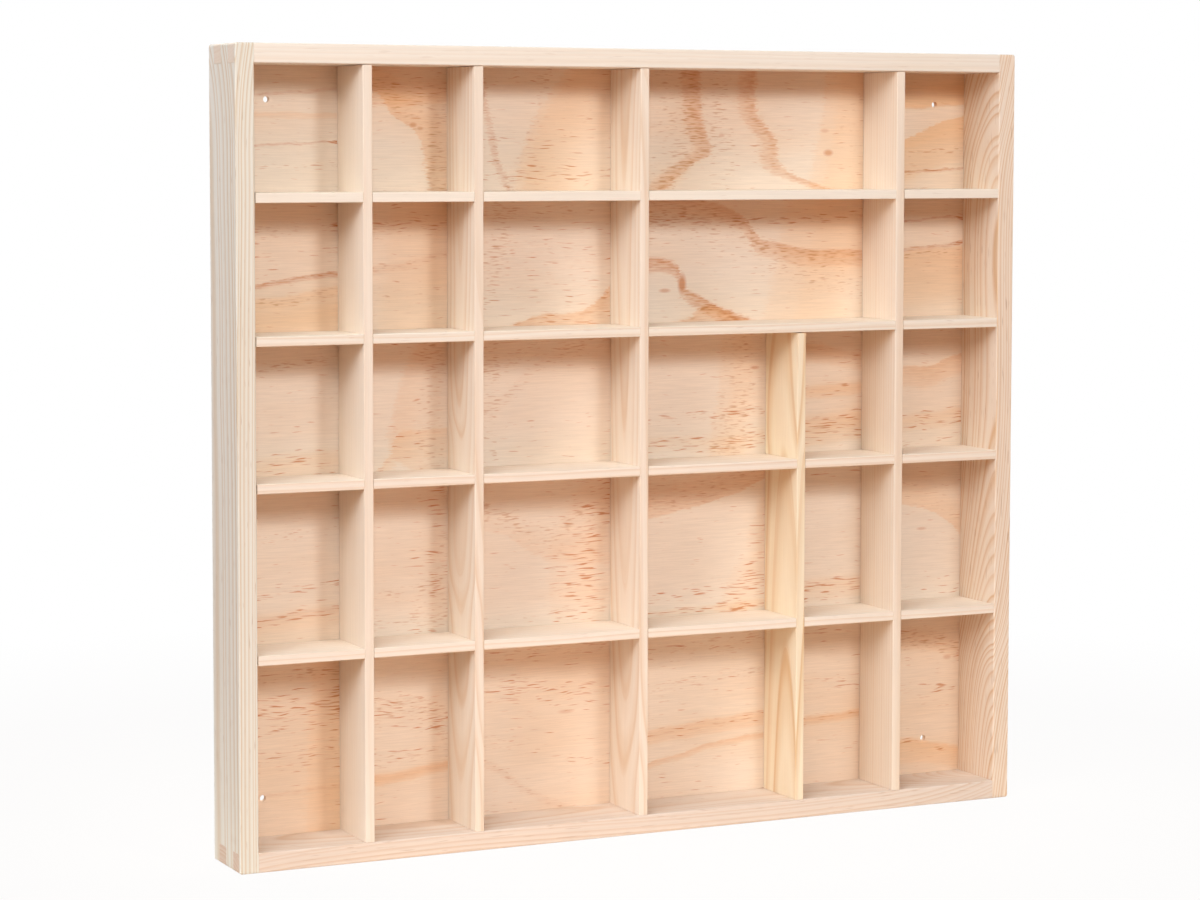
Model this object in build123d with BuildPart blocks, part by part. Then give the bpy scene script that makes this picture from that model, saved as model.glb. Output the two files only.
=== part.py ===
from build123d import *
import os

# Letterpress tray shelf: a shallow pine case, finger-jointed at its corners, with a thin panel in a
# rebate at the back and an egg-crate grid of halved slats inside.
# Millimetres. +Z is up, +X is right and the open front faces -Y. The origin is the centre of the
# footprint, on the surface that the case stands on.

# Case
case_width = 410.0
case_height = 375.0
case_depth = 36.0
board = 9.0
finger = 9.5
front_lip = 1.2
corner_radius = 1.2
outer_arris = 0.6
inner_arris = 0.4

# Back panel, the rebate that it lies in, and the pins that hold it
panel = 3.0
rebate = 4.5
pin_diameter = 1.2
pin_head = 2.4
pin_head_height = 0.5
pin_length = 14.0
rail_pin_inset = 28.0
side_pin_inset = 62.5
pins_on_rail = 4
pins_on_side = 3

# Holes for the wall screws
hole_diameter = 3.0
hole_inset = 26.5
upper_hole_drop = 24.7
lower_hole_rise = 27.0
lower_hole_shift = -3.6

# Grid: clear heights of the rows from the top down, and clear widths of the columns from the left.
# The last row and the last column take what is left. The dividers are numbered from the left.
slat = 4.5
slat_arris = 0.35
row_1 = 58.0
row_2 = 60.0
row_3 = 62.0
row_4 = 73.5
column_1 = 52.0
column_2 = 50.5
column_3 = 81.0
column_4 = 81.0
column_5 = 50.5
short_dividers = {4}

# Clearances. The grid was pushed in from the left, so most of its play is at the shelves' left ends.
joint_gap = 0.15
pin_gap = 0.05
grid_recess = 0.2
shelf_left_gap = 0.45
shelf_right_gap = 0.1
divider_top_gap = 0.25
divider_foot_gap = 0.1
short_divider_gap = 0.35

# Planes and inner sizes that follow from the values above
front_y = -case_depth / 2
back_y = case_depth / 2
panel_y = back_y - panel
inner_width = case_width - 2 * board
inner_height = case_height - 2 * board
middle_z = case_height / 2
pocket_width = inner_width + 2 * rebate
pocket_height = inner_height + 2 * rebate

os.makedirs("parts", exist_ok=True)


def finish(piece, name):
    """Labels a finished piece and writes it."""
    piece.label = name
    export_step(piece, f"parts/{name}.step")


# The outside of the assembled case, sanded in one go, so that its arrises run over the corner joints
with BuildPart() as outline:
    Box(case_width, case_depth, case_height, align=(Align.CENTER, Align.CENTER, Align.MIN))
    fillet(outline.edges().filter_by(Axis.Y), corner_radius)
    fillet(outline.faces().filter_by(Axis.Y).edges(), outer_arris)

# What is cut from the four boards: the eased inner edge at the front and the rebate at the back
with BuildPart() as inner_edge:
    with BuildSketch(Plane.XZ.offset(-front_y)):
        with Locations((0, middle_z)):
            Rectangle(inner_width + 2 * inner_arris, inner_height + 2 * inner_arris)
    extrude(amount=-inner_arris, taper=45)

with BuildPart() as panel_pocket:
    with BuildSketch(Plane.XZ.offset(-panel_y)):
        with Locations((0, middle_z)):
            Rectangle(pocket_width, pocket_height)
    extrude(amount=-case_depth)

# The pins stand in the middle of the rebate, in even rows along the rails and the sides
pin_row_z = (pocket_height - rebate) / 2
pin_row_x = (pocket_width - rebate) / 2
rail_pin_spacing = (case_width - 2 * rail_pin_inset) / (pins_on_rail - 1)
side_pin_spacing = (case_height - 2 * side_pin_inset) / (pins_on_side - 1)
pin_spots = []
for end in (-1, 1):
    for i in range(pins_on_rail):
        along = (i - (pins_on_rail - 1) / 2) * rail_pin_spacing
        pin_spots.append((along, middle_z + end * pin_row_z))
    for i in range(pins_on_side):
        along = (i - (pins_on_side - 1) / 2) * side_pin_spacing
        pin_spots.append((end * pin_row_x, middle_z + along))

with BuildPart() as pin_bores:
    with BuildSketch(Plane.XZ.offset(-back_y)):
        with Locations(*pin_spots):
            Circle(pin_diameter / 2 + pin_gap)
    extrude(amount=pin_length + pin_gap)

# Each rail has two fingers at an end, one behind the sides' front lip and one further back
rail_fingers = [
    (front_y + front_lip, front_y + finger),
    (front_y + 2 * finger, front_y + 3 * finger),
]

with BuildPart() as left_side:
    with BuildSketch(Plane.XY):
        with Locations((-(case_width - board) / 2, 0)):
            Rectangle(board, case_depth)
    extrude(amount=case_height)
    with BuildSketch(Plane.XY):
        for start, stop in rail_fingers:
            with Locations((-case_width / 2 + board / 2, (start + stop) / 2)):
                Rectangle(2 * board, stop - start)
    socket = board + joint_gap / 2
    extrude(amount=socket, mode=Mode.SUBTRACT)
    with BuildSketch(Plane.XY.offset(case_height)):
        for start, stop in rail_fingers:
            with Locations((-case_width / 2 + board / 2, (start + stop) / 2)):
                Rectangle(2 * board, stop - start)
    extrude(amount=-socket, mode=Mode.SUBTRACT)
    add(outline.part, mode=Mode.INTERSECT)
    add(inner_edge.part, mode=Mode.SUBTRACT)
    add(panel_pocket.part, mode=Mode.SUBTRACT)
    add(pin_bores.part, mode=Mode.SUBTRACT)
finish(left_side.part, "left_side")

with BuildPart() as right_side:
    mirror(left_side.part, about=Plane.YZ)
finish(right_side.part, "right_side")

with BuildPart() as bottom_rail:
    with BuildSketch(Plane.XY):
        Rectangle(inner_width - joint_gap, case_depth)
        for start, stop in rail_fingers:
            with Locations((0, (start + stop) / 2)):
                Rectangle(case_width, stop - start - joint_gap)
    extrude(amount=board)
    add(outline.part, mode=Mode.INTERSECT)
    add(inner_edge.part, mode=Mode.SUBTRACT)
    add(panel_pocket.part, mode=Mode.SUBTRACT)
    add(pin_bores.part, mode=Mode.SUBTRACT)
finish(bottom_rail.part, "bottom_rail")

with BuildPart() as top_rail:
    mirror(bottom_rail.part, about=Plane.XY.offset(middle_z))
finish(top_rail.part, "top_rail")

# The panel lies flush with the back of the case
hole_spacing = case_width - 2 * hole_inset
with BuildPart() as back_panel:
    with BuildSketch(Plane.XZ.offset(-back_y)):
        with Locations((0, middle_z)):
            Rectangle(pocket_width - 2 * joint_gap, pocket_height - 2 * joint_gap)
    extrude(amount=panel - joint_gap)
    with BuildSketch(Plane.XZ.offset(-back_y)):
        with Locations((0, case_height - upper_hole_drop), (lower_hole_shift, lower_hole_rise)):
            with GridLocations(hole_spacing, 0, 2, 1):
                Circle(hole_diameter / 2)
    extrude(amount=panel, mode=Mode.SUBTRACT)
    add(pin_bores.part, mode=Mode.SUBTRACT)
    with BuildSketch(Plane.XZ.offset(-back_y)):
        with Locations(*pin_spots):
            Circle(pin_head / 2 + pin_gap)
    extrude(amount=pin_head_height, mode=Mode.SUBTRACT)
finish(back_panel.part, "back_panel")

with BuildPart() as panel_pins:
    with BuildSketch(Plane.XZ.offset(-back_y)):
        with Locations(*pin_spots):
            Circle(pin_head / 2)
    extrude(amount=pin_head_height)
    with BuildSketch(Plane.XZ.offset(-back_y)):
        with Locations(*pin_spots):
            Circle(pin_diameter / 2)
    extrude(amount=pin_length)
finish(panel_pins.part, "panel_pins")

# Grid: every slat runs from just behind the case's front to the panel, and the slats are halved
# into each other. The dividers keep their front half at a crossing and the shelves their back half.
slat_front = front_y + grid_recess
slat_back = panel_y - joint_gap
slat_depth = slat_back - slat_front
slat_y = (slat_front + slat_back) / 2
notch_width = slat + joint_gap
notch_reach = slat_depth / 2 + joint_gap / 2

shelf_heights = []
level = case_height - board
for row in (row_1, row_2, row_3, row_4):
    level -= row + slat
    shelf_heights.append(level + slat / 2)

divider_places = []
edge = -inner_width / 2
for column in (column_1, column_2, column_3, column_4, column_5):
    edge += column + slat
    divider_places.append(edge - slat / 2)

# A short divider stands on the bottom rail and ends under the second shelf
short_divider_top = shelf_heights[1] - slat / 2 - short_divider_gap

for number, height in enumerate(shelf_heights, 1):
    crossing = []
    for i, place in enumerate(divider_places, 1):
        if i not in short_dividers or height < short_divider_top:
            crossing.append((place, slat_front + notch_reach / 2 - slat / 2))
    with BuildPart() as shelf:
        with BuildSketch(Plane.YZ.offset(-inner_width / 2 + shelf_left_gap)):
            with Locations((slat_y, height)):
                RectangleRounded(slat_depth, slat, slat_arris)
        extrude(amount=inner_width - shelf_left_gap - shelf_right_gap)
        with BuildSketch(Plane.XY.offset(height)):
            with Locations(*crossing):
                Rectangle(notch_width, notch_reach + slat)
        extrude(amount=slat, both=True, mode=Mode.SUBTRACT)
    finish(shelf.part, f"shelf_{number}")

for number, place in enumerate(divider_places, 1):
    bottom = board + divider_foot_gap
    top = case_height - board - divider_top_gap
    name = f"divider_{number}"
    if number in short_dividers:
        top = short_divider_top
        name = f"divider_{number}_short"
    crossing = []
    for height in shelf_heights:
        if height < top:
            crossing.append((slat_back - notch_reach / 2 + slat / 2, height))
    with BuildPart() as divider:
        with BuildSketch(Plane.XY.offset(bottom)):
            with Locations((place, slat_y)):
                RectangleRounded(slat, slat_depth, slat_arris)
        extrude(amount=top - bottom)
        with BuildSketch(Plane.YZ.offset(place)):
            with Locations(*crossing):
                Rectangle(notch_reach + slat, notch_width)
        extrude(amount=slat, both=True, mode=Mode.SUBTRACT)
    finish(divider.part, name)
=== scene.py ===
import math

import bpy
from bpy.props import FloatProperty, FloatVectorProperty, PointerProperty
from bpy.types import Operator, Panel, PropertyGroup
from mathutils import Euler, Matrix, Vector

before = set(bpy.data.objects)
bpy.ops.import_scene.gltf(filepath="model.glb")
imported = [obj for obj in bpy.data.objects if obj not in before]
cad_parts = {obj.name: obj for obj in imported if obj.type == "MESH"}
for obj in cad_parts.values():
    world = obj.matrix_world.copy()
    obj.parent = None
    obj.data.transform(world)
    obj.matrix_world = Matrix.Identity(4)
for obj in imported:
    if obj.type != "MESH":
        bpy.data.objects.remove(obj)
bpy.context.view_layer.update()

bl_info = {
    "name": "Letterpress tray shelf",
    "version": (1, 0, 0),
    "blender": (4, 5, 0),
    "location": "View3D > Sidebar > Tray shelf",
    "description": "Finishes a pine letterpress tray shelf and sets up its studio",
    "category": "Object",
}

# Patterns are measured in part millimetres, and the frame's coordinates are metres
PER_METRE = 1000

WHITE = (1, 1, 1, 1)

# What every colour in the sidebar has in common
COLOUR = {"subtype": "COLOR", "size": 4, "min": 0, "max": 1}

# What every mix of two colours has in common, and every product of two colours
MIX = {"data_type": "RGBA"}
MULTIPLY = {"data_type": "RGBA", "blend_type": "MULTIPLY", 0: 1.0}


def srgb(code):
    """A hex colour as linear red, green, blue and full alpha."""
    parts = [int(code[i : i + 2], 16) / 255 for i in (1, 3, 5)]
    return tuple(c / 12.92 if c <= 0.04045 else ((c + 0.055) / 1.055) ** 2.4 for c in parts) + (1.0,)


def add_node(tree, kind, settings=None, links=None):
    """Adds a node, gives its properties and inputs their settings, and links outputs to its inputs.
    The kind of a shader node goes without its first words, and a node among the links stands for the
    first of its outputs that is in use."""
    # Inputs that share their names go by number: a map range turns 1 to 2 into 3 to 4, and a mix goes
    # by 0 from 2 to 3 if it mixes numbers and from 6 to 7 if it mixes colours
    node = tree.nodes.new(kind if kind.startswith("NodeGroup") else "ShaderNode" + kind)
    inputs = {}
    for key, value in (settings or {}).items():
        if isinstance(key, str) and hasattr(node, key):
            setattr(node, key, value)
        else:
            inputs[key] = value
    for key, value in inputs.items():
        node.inputs[key].default_value = value
    for key, source in (links or {}).items():
        if isinstance(source, bpy.types.Node):
            source = next(output for output in source.outputs if output.enabled)
        tree.links.new(source, node.inputs[key])
    return node


def new_material(name):
    """A material with an empty node tree, and that tree."""
    material = bpy.data.materials.new(name)
    material.use_nodes = True
    material.node_tree.nodes.clear()
    return material, material.node_tree


def draw_curve(node, points):
    """Draws a float curve through its points, which may leave the range from 0 to 1."""
    node.mapping.use_clip = False
    curve = node.mapping.curves[0]
    curve.points[0].location = points[0]
    curve.points[1].location = points[-1]
    for point in points[1:-1]:
        curve.points.new(*point)
    node.mapping.update()


def draw_ramp(node, stops):
    """Sets the stops of a ramp of grey, with eased steps between them."""
    ramp = node.color_ramp
    ramp.interpolation = "EASE"
    ramp.elements[0].position = stops[0][0]
    ramp.elements[1].position = stops[-1][0]
    for place, shade in stops[1:-1]:
        ramp.elements.new(place)
    for element, (place, shade) in zip(ramp.elements, stops):
        element.color = (shade, shade, shade, 1)


class TRAY_PG_wood(PropertyGroup):
    """Colours and growth of the solid pine."""

    earlywood: FloatVectorProperty(
        name="Earlywood",
        description="Pale wood that grows in spring, sanded and unfinished",
        default=srgb("#F9F0E6"),
        **COLOUR,
    )
    latewood: FloatVectorProperty(
        name="Latewood",
        description="Darker wood that ends each growth ring",
        default=srgb("#E0BB92"),
        **COLOUR,
    )
    resin: FloatVectorProperty(
        name="Resin canals",
        description="Short brown dashes where the saw opened a resin canal",
        default=srgb("#A5764C"),
        **COLOUR,
    )
    figure: FloatProperty(
        name="Figure",
        description="How strongly the growth rings show",
        subtype="FACTOR",
        default=1.0,
        min=0,
        max=2,
    )


class TRAY_PG_veneer(PropertyGroup):
    """Colours of the back panel's face veneer."""

    face: FloatVectorProperty(
        name="Veneer",
        description="Main colour of the rotary-cut pine veneer",
        default=srgb("#F2E3D3"),
        **COLOUR,
    )
    tan: FloatVectorProperty(
        name="Sapwood",
        description="Yellower stretches beside the latewood bands",
        default=srgb("#F0C8A1"),
        **COLOUR,
    )
    latewood: FloatVectorProperty(
        name="Latewood",
        description="Brown bands where the knife ran along a growth ring",
        default=srgb("#CB8049"),
        **COLOUR,
    )
    dashes: FloatVectorProperty(
        name="Resin dashes",
        description="Short dark dashes along the grain",
        default=srgb("#C08248"),
        **COLOUR,
    )


class TRAY_PG_studio(PropertyGroup):
    """Camera, floor and lamps."""

    camera_place: FloatVectorProperty(
        name="Camera place",
        description="Where the camera stands",
        subtype="TRANSLATION",
        unit="LENGTH",
        size=3,
        default=(-0.67626, -1.37410, 0.32910),
    )
    camera_turn: FloatProperty(
        name="Turn",
        description="How far the camera looks to the right of straight ahead",
        unit="ROTATION",
        default=math.radians(25.659),
    )
    camera_tilt: FloatProperty(
        name="Tilt",
        description="How far the camera looks down",
        unit="ROTATION",
        default=math.radians(4.039),
    )
    camera_roll: FloatProperty(
        name="Roll",
        description="How far the camera leans",
        unit="ROTATION",
        default=math.radians(0.081),
    )
    camera_lens: FloatProperty(
        name="Lens", description="Focal length in millimetres", default=95.91, min=1
    )
    camera_shift: FloatProperty(
        name="Shift",
        description="How far the view is shifted down the sensor, as a share of its width",
        default=-0.065,
    )
    floor_size: FloatProperty(
        name="Floor", description="Side of the square floor", unit="LENGTH", default=12.0, min=1
    )
    light: FloatProperty(
        name="Light", description="Share of the lamps' full light", default=1.0, min=0, max=4
    )
    fill: FloatProperty(
        name="Fill",
        description="Strength of the warm, even light from all round",
        default=0.09,
        min=0,
    )


# How each piece grew. grain: the axis that it runs along. pith: where the centre of its rings lies
# across the grain, in part millimetres: X and Y for an upright piece, Z and Y for a level one.
# ring: mean ring width. sway: how far the pith lies from there at a place along the grain, as
# (place, first axis, second axis). wander: how far the rings stray. uneven: how much their widths
# differ. figure and resin: how strongly the rings and the resin canals show. tone: the piece's own
# colour, except the left side's bluish tone, which paints the cooler, dimmer light on its outer face.
GROWTH = {
    # The left side's bluish tone is painted light: it stands for the cooler, dimmer light on its outer face
    "left_side": {
        "grain": "Z", "pith": (-10.9, 65), "ring": 1.64, "wander": 1.4,
        "figure": 0.8, "resin": 0.35, "tone": "#F1FBFF",
        "sway": [(0, -0.6, 0), (200, 0, 0), (300, 0.9, 0), (350, 2.0, 0), (375, 5.0, 0)],
    },
    "right_side": {
        "grain": "Z", "pith": (196, -19), "ring": 1.6, "wander": 1.0,
        "figure": 0.8, "resin": 0.4, "tone": "#FAF6F2",
        "sway": [(0, 8, 0), (35, 13, 0), (60, 18, 0), (92, 29, 0), (130, 36, 0), (165, 40, 0), (200, 42, 0),
                 (300, 42, 0), (320, 44, 0), (345, 50, 0), (375, 57, 0)],
    },
    "top_rail": {
        "grain": "X", "pith": (450, 20), "ring": 2.1, "wander": 1.5,
        "figure": 0.2, "resin": 0.1, "tone": "#FBFEFF",
    },
    "bottom_rail": {
        "grain": "X", "pith": (-40, 8), "ring": 1.9, "wander": 1.6,
        "figure": 0.5, "resin": 0.3, "tone": "#F0ECEC",
        "sway": [(-205, -3, 0), (-170, 0, 0), (120, 0, 0), (160, 3, 0), (205, 14, 0)],
    },
    "shelf_1": {
        "grain": "X", "pith": (305, 90), "ring": 1.7, "wander": 2.5,
        "figure": 0.35, "resin": 0.1, "tone": "#FCFFFF",
    },
    "shelf_2": {
        "grain": "X", "pith": (275, 30), "ring": 1.6, "wander": 2.5,
        "figure": 0.4, "resin": 0.2, "tone": "#FCFFFF",
    },
    "shelf_3": {
        "grain": "X", "pith": (120, -60), "ring": 1.9, "wander": 2.0,
        "figure": 0.4, "resin": 0.1, "tone": "#FEFFFF",
    },
    "shelf_4": {
        "grain": "X", "pith": (60, 40), "ring": 1.8, "wander": 2.0,
        "figure": 0.35, "resin": 0.1, "tone": "#FEFFFF",
    },
    "divider_1": {
        "grain": "Z", "pith": (-100, 130), "ring": 1.5, "wander": 1.5,
        "figure": 0.16, "resin": 0.0, "tone": "#FAF8F5",
    },
    "divider_2": {
        "grain": "Z", "pith": (-89, -1), "ring": 3.6, "wander": 1.2, "uneven": 0.3,
        "figure": 0.4, "resin": 0.0, "tone": "#FAF8F5",
        "sway": [(9, 30, 0), (35, 28.8, 0.5), (70, 25.2, -1), (115, 21.6, 0), (130, 18, 1), (190, 14.4, -1),
                 (208, 10.8, 1.5), (275, 7.2, 0), (366, 3.6, 0)],
    },
    "divider_3": {
        "grain": "Z", "pith": (-3.5, -2), "ring": 3.4, "wander": 1.2, "uneven": 0.3,
        "figure": 0.42, "resin": 0.0, "tone": "#FBF9F6",
        "sway": [(9, 25, 0), (25, 23.8, 1), (60, 20.4, -1), (125, 17, 0), (210, 13.6, 1), (340, 10.2, 2),
                 (366, 9, 0)],
    },
    "divider_4_short": {
        "grain": "Z", "pith": (82, -2), "ring": 5.0, "wander": 1.0, "uneven": 0.3,
        "figure": 0.75, "resin": 0.0, "tone": "#FFFDEF",
        "sway": [(9, 15.6, -5.5), (88, 20, -5.5), (150, 23.6, -4.5), (175, 25, -4), (190, 25.9, -1),
                 (239, 28.6, 0)],
    },
    "divider_5": {
        "grain": "Z", "pith": (150, -110), "ring": 1.9, "wander": 1.0,
        "figure": 0.3, "resin": 0.05, "tone": "#FBF9F6",
    },
}

# How much the widths of the rings differ in a piece whose entry doesn't say so
UNEVEN = 0.8

# How far the pith has swayed, in part millimetres, where its curve has the value 1
SWAY_UNIT = 100

# Tones that drift slowly through each piece, and the tone of its end grain
PALE_TONE, WARM_TONE = srgb("#FFFDFB"), srgb("#FBF5EE")
END_GRAIN = srgb("#F4EFEA")

# Height of the fibres that sanding leaves, in metres
FIBRE_RELIEF = 0.00008


def pine(name, seed):
    """Solid pine, sawn, planed and fine sanded, without a finish: growth rings around the piece's own
    pith, fibres and resin canals along the grain, and darker end grain."""
    growth = GROWTH[name]
    wood = bpy.context.scene.tray_wood
    material, tree = new_material("sanded_pine_" + name)
    place = add_node(tree, "TexCoord")
    upright = growth["grain"] == "Z"
    first, second = growth["pith"]
    # Part millimetres from the pith, turned so that the grain runs along Z
    grain = add_node(
        tree,
        "Mapping",
        {
            "Scale": (PER_METRE, PER_METRE, PER_METRE),
            "Rotation": (0, 0 if upright else -math.pi / 2, 0),
            "Location": (-first if upright else first, -second, 0),
        },
        {"Vector": place.outputs["Object"]},
    )

    # The rings stray slowly, over 55 mm across the grain and 190 mm along it
    slow = add_node(
        tree, "Mapping", {"Scale": (1 / 55, 1 / 55, 1 / 190), "Location": (seed, 0, 0)}, {"Vector": grain}
    )
    slow = add_node(tree, "TexNoise", {"Scale": 1.0, "Detail": 2.0, "Roughness": 0.45}, {"Vector": slow})
    wander = 2 * growth["wander"]
    slow = add_node(
        tree,
        "VectorMath",
        {"operation": "MULTIPLY_ADD", 1: (wander, wander, 0), 2: (-wander / 2, -wander / 2, 0)},
        {0: slow.outputs["Color"]},
    )
    rings = add_node(tree, "VectorMath", {"operation": "ADD"}, {0: grain, 1: slow})
    if "sway" in growth:
        stops = growth["sway"]
        low, high = stops[0][0], stops[-1][0]
        parts = add_node(tree, "SeparateXYZ", {}, {0: grain})
        along = add_node(tree, "MapRange", {1: low, 2: high}, {0: parts.outputs["Z"]})
        shifts = {}
        for axis in (1, 2):
            # The grain frame of a level piece has its first axis turned the other way round
            sign = 1 if upright or axis == 2 else -1
            points = [((stop[0] - low) / (high - low), sign * stop[axis] / SWAY_UNIT) for stop in stops]
            curve = add_node(tree, "FloatCurve", {}, {"Value": along})
            draw_curve(curve, points)
            shifts[axis - 1] = curve
        shift = add_node(tree, "CombineXYZ", {}, shifts)
        rings = add_node(
            tree,
            "VectorMath",
            {"operation": "MULTIPLY_ADD", 1: (-SWAY_UNIT, -SWAY_UNIT, 0)},
            {0: shift, 2: rings},
        )
    per_ring = 1 / growth["ring"]
    rings = add_node(
        tree, "VectorMath", {"operation": "MULTIPLY", 1: (per_ring, per_ring, 0)}, {0: rings}
    )
    age = add_node(tree, "VectorMath", {"operation": "LENGTH"}, {0: rings})
    # Good and poor years come in runs of about three, so the rings' widths differ
    years = add_node(tree, "Math", {"operation": "MULTIPLY_ADD", 1: 0.37, 2: seed * 7.3}, {0: age})
    years = add_node(
        tree, "TexNoise", {"noise_dimensions": "1D", "Scale": 1.0, "Detail": 1.0}, {"W": years}
    )
    uneven = growth.get("uneven", UNEVEN)
    years = add_node(tree, "MapRange", {3: -uneven, 4: uneven}, {0: years})
    age = add_node(tree, "Math", {"operation": "ADD"}, {0: years, 1: age})
    # A ring darkens from spring to autumn, and some years end darker than others
    season = add_node(tree, "Math", {"operation": "FRACT"}, {0: age})
    late = add_node(tree, "ValToRGB", {}, {0: season})
    draw_ramp(late, [(0.0, 0.75), (0.1, 0.12), (0.4, 0.0), (0.72, 0.45), (0.93, 1.0), (1.0, 0.75)])
    year = add_node(tree, "Math", {"operation": "FLOOR"}, {0: age})
    year = add_node(tree, "TexWhiteNoise", {"noise_dimensions": "1D"}, {"W": year})
    year = add_node(tree, "MapRange", {3: 0.55, 4: 1.1}, {0: year})
    late = add_node(tree, "Math", {"operation": "MULTIPLY"}, {0: late, 1: year})

    # Fibres are about 0.03 mm wide. They are drawn as 0.6 mm streaks, the finest that a picture of the
    # whole tray can show.
    fibres = add_node(
        tree, "Mapping", {"Scale": (1.6, 1.6, 0.035), "Location": (seed, 3, 0)}, {"Vector": grain}
    )
    fibres = add_node(
        tree, "TexNoise", {"Scale": 1.0, "Detail": 2.0, "Roughness": 0.6}, {"Vector": fibres}
    )
    # Resin canals are about 0.2 mm wide, and are drawn 0.8 mm wide
    canals = add_node(
        tree, "Mapping", {"Scale": (1.3, 1.3, 0.11), "Location": (seed, 9, 0)}, {"Vector": grain}
    )
    canals = add_node(tree, "TexNoise", {"Scale": 1.0, "Detail": 0.0}, {"Vector": canals})
    canals = add_node(tree, "MapRange", {1: 0.72, 2: 0.82, 3: 0, 4: growth["resin"]}, {0: canals})
    cloud = add_node(
        tree, "Mapping", {"Scale": (0.03, 0.03, 0.009), "Location": (seed, 5, 0)}, {"Vector": grain}
    )
    cloud = add_node(tree, "TexNoise", {"Scale": 1.0, "Detail": 1.0}, {"Vector": cloud})

    strength = growth["figure"] * wood.figure
    late = add_node(tree, "Math", {"operation": "MULTIPLY", 1: strength}, {0: late})
    colour = add_node(tree, "Mix", {**MIX, 6: wood.earlywood, 7: wood.latewood}, {0: late})
    tone = add_node(tree, "Mix", {**MIX, 6: PALE_TONE, 7: WARM_TONE}, {0: cloud})
    colour = add_node(tree, "Mix", MULTIPLY, {6: colour, 7: tone})
    # Each piece's own tone; on the left side this tone is painted cooler, dimmer light
    colour = add_node(tree, "Mix", {**MULTIPLY, 7: srgb(growth["tone"])}, {6: colour})
    streaks = add_node(tree, "MapRange", {1: 0.3, 2: 0.7, 3: 0.965, 4: 1.02}, {0: fibres})
    colour = add_node(tree, "Mix", MULTIPLY, {6: colour, 7: streaks})
    colour = add_node(tree, "Mix", {**MIX, 7: wood.resin}, {0: canals, 6: colour})
    # Faces across the grain drink up light, so end grain is darker
    normal = add_node(tree, "NewGeometry").outputs["True Normal"]
    ends = (0, 0, 1) if upright else (1, 0, 0)
    facing = add_node(tree, "VectorMath", {"operation": "DOT_PRODUCT", 1: ends}, {0: normal})
    facing = add_node(tree, "Math", {"operation": "ABSOLUTE"}, {0: facing})
    facing = add_node(tree, "MapRange", {1: 0.6, 2: 0.8}, {0: facing})
    colour = add_node(tree, "Mix", {**MULTIPLY, 7: END_GRAIN}, {0: facing, 6: colour})
    relief = add_node(tree, "Bump", {"Strength": 0.25, "Distance": FIBRE_RELIEF}, {"Height": fibres})
    surface = add_node(
        tree,
        "BsdfPrincipled",
        {"Roughness": 0.62, "Specular IOR Level": 0.12},
        {"Base Color": colour, "Normal": relief},
    )
    add_node(tree, "OutputMaterial", {}, {"Surface": surface})
    return material


# Clear heights of the rows from the top down and clear widths of the columns from the left, in part
# millimetres
ROWS = {1: (308, 366), 2: (243.5, 303.5), 3: (177, 239), 4: (99, 172.5), 5: (9, 94.5)}
COLUMNS = {1: (-196, -144), 2: (-139.5, -89), 3: (-84.5, -3.5), 4: (1, 82), 5: (86.5, 137), 6: (141.5, 196)}

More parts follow.
